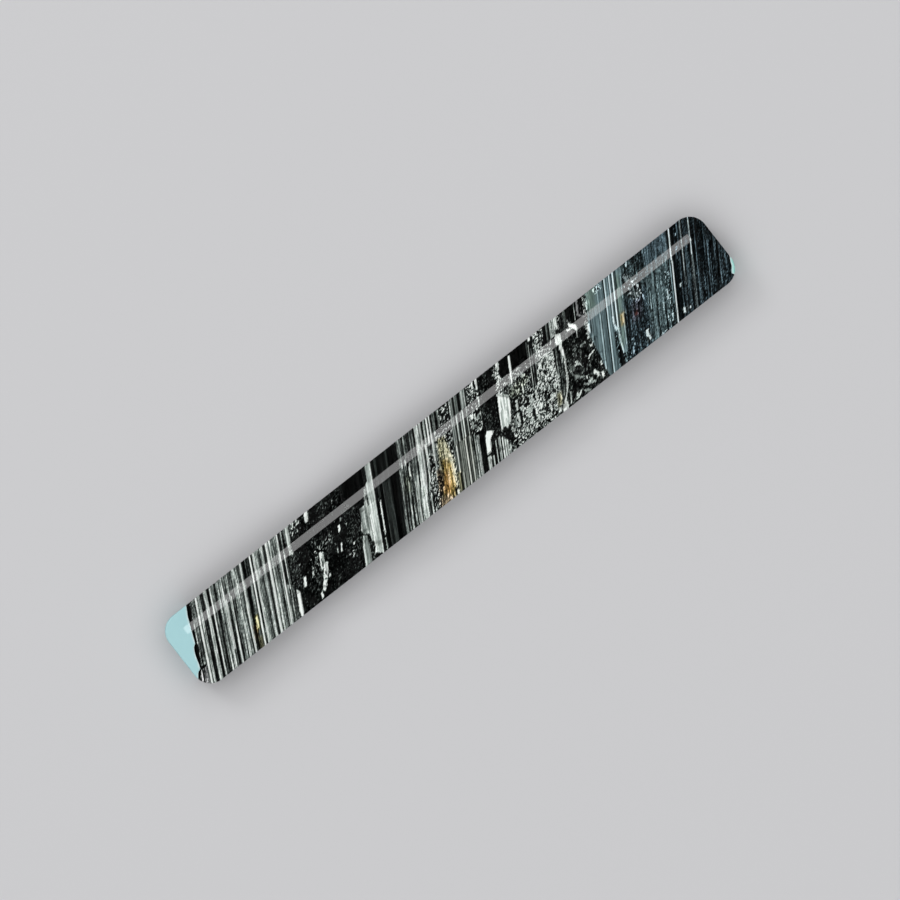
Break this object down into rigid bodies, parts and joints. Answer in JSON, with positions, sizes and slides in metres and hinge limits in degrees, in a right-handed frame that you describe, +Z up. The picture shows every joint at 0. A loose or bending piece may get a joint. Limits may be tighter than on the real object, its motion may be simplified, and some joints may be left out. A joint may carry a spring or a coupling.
{
  "type": "black tourmaline stick",
  "caption": "Rounded bar of black tourmaline, sawn across a mass of parallel striated crystals, with rough broken patches and pale blue resin fills at its ends.",
  "frame": {"origin": "centre of the flat sawn underside", "axes": "+X along the stick, towards the end with the tiny resin fill; +Y across it; +Z up, out of the face that shows the crystals"},
  "size_m": [0.136, 0.0162, 0.009],
  "materials": {
    "tourmaline": "black schorl with glassy striated faces and rough broken patches, opaque",
    "resin": "smooth pale blue resin, opaque"
  },
  "bodies": {
    "root": {"tourmaline_stick": "tourmaline", "blue_resin_end": "resin", "blue_resin_tip": "resin"}
  },
  "joints": []
}
